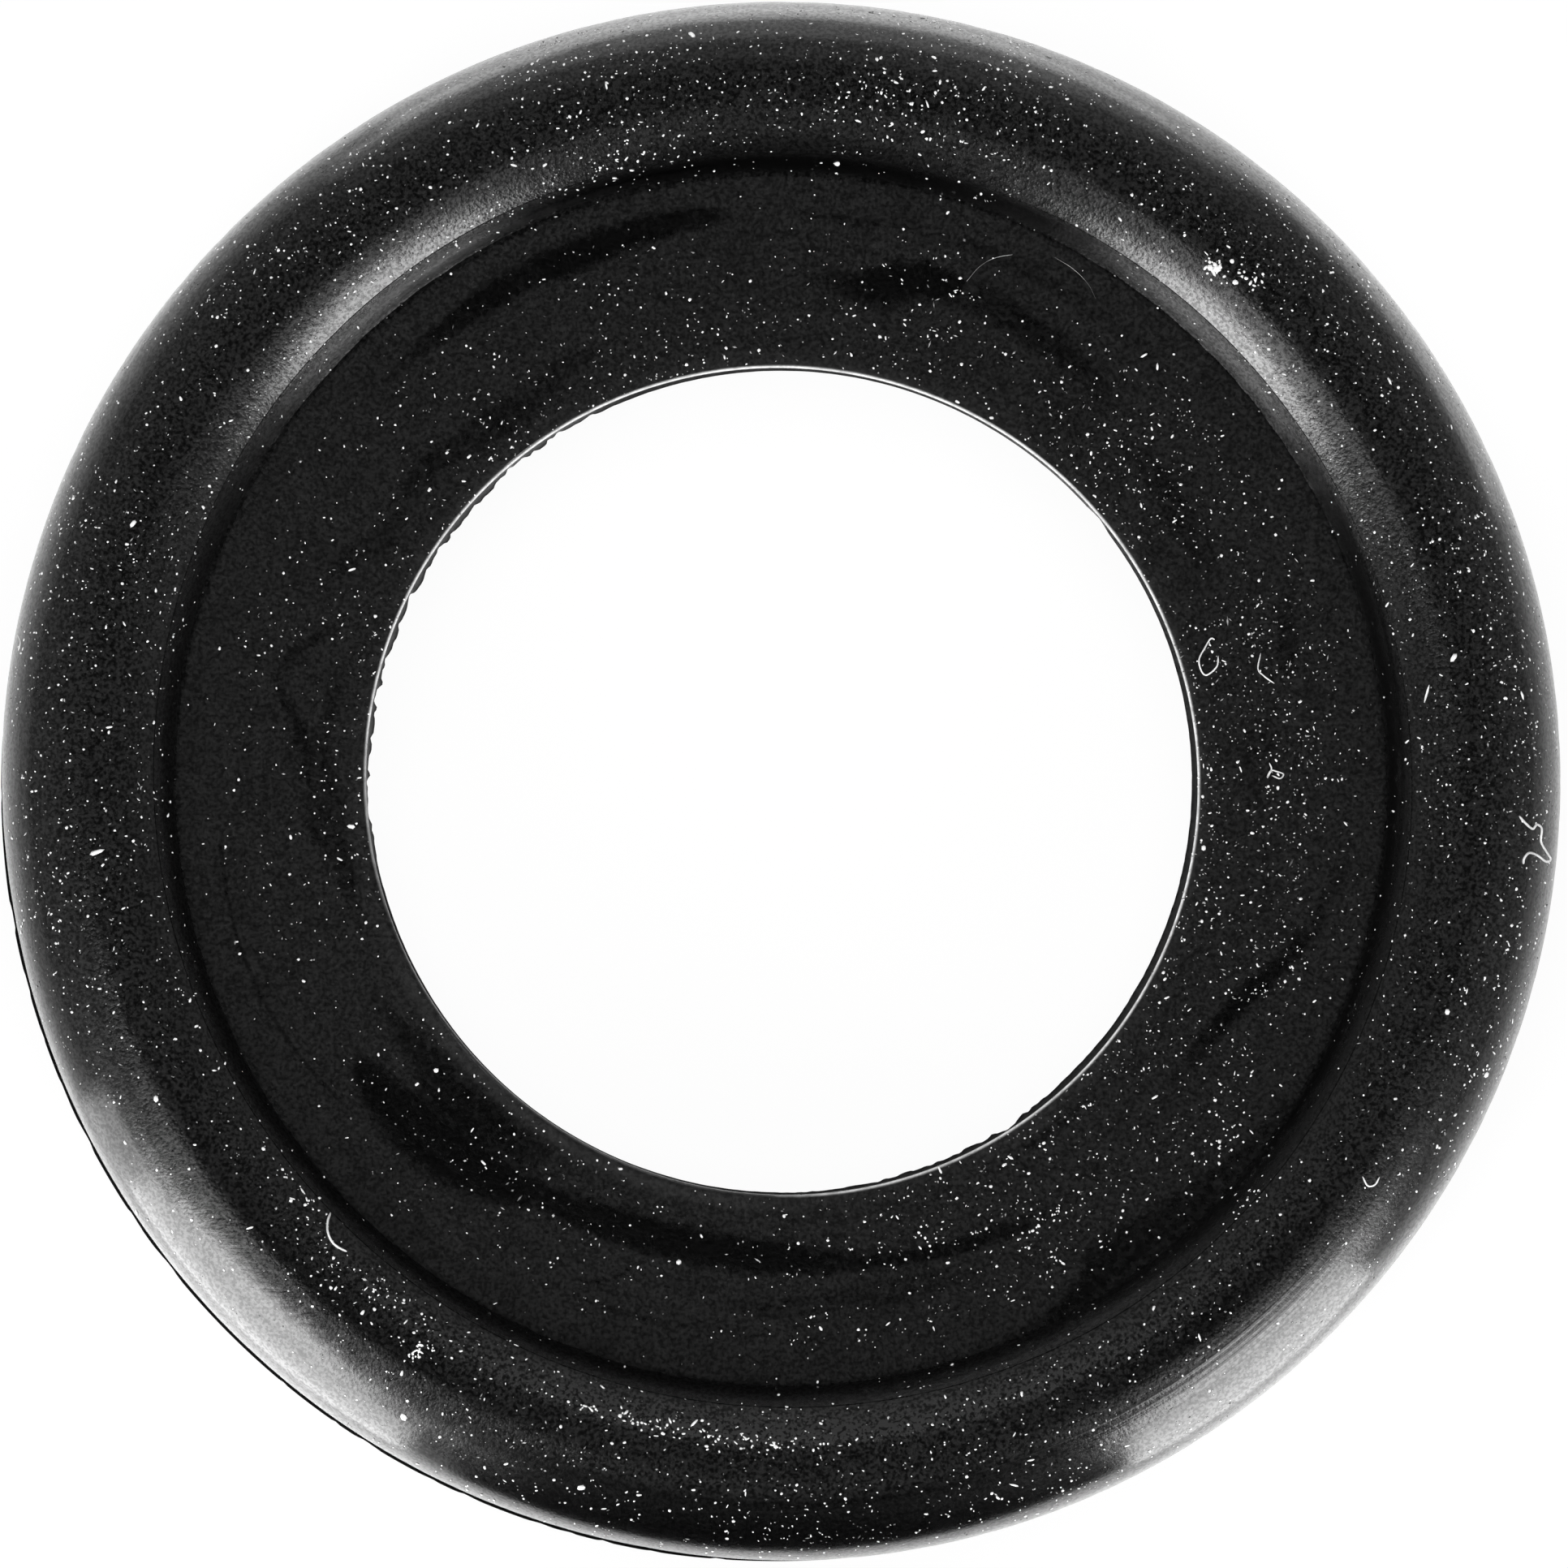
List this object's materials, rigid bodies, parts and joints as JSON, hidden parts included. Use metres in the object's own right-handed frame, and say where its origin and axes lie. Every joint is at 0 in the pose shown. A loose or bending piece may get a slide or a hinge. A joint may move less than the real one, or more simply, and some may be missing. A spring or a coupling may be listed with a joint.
{
  "type": "drain plug washer",
  "caption": "Moulded rubber sealing ring with a flat inner web and a raised rounded bead round its outside; it seals a drain plug's flange against an oil pan.",
  "frame": {"origin": "centre of the bore, on the mould's parting plane at mid height", "axes": "+Z along the bore's axis, towards one sealing crown; the part is a full turn about Z and alike above and below"},
  "size_m": [0.022, 0.022, 0.003],
  "materials": {
    "black_rubber": "black moulded nitrile rubber with a dull sheen, lightly dusted with pale talc and lint"
  },
  "bodies": {
    "root": {"sealing_washer": "black_rubber"}
  },
  "joints": []
}
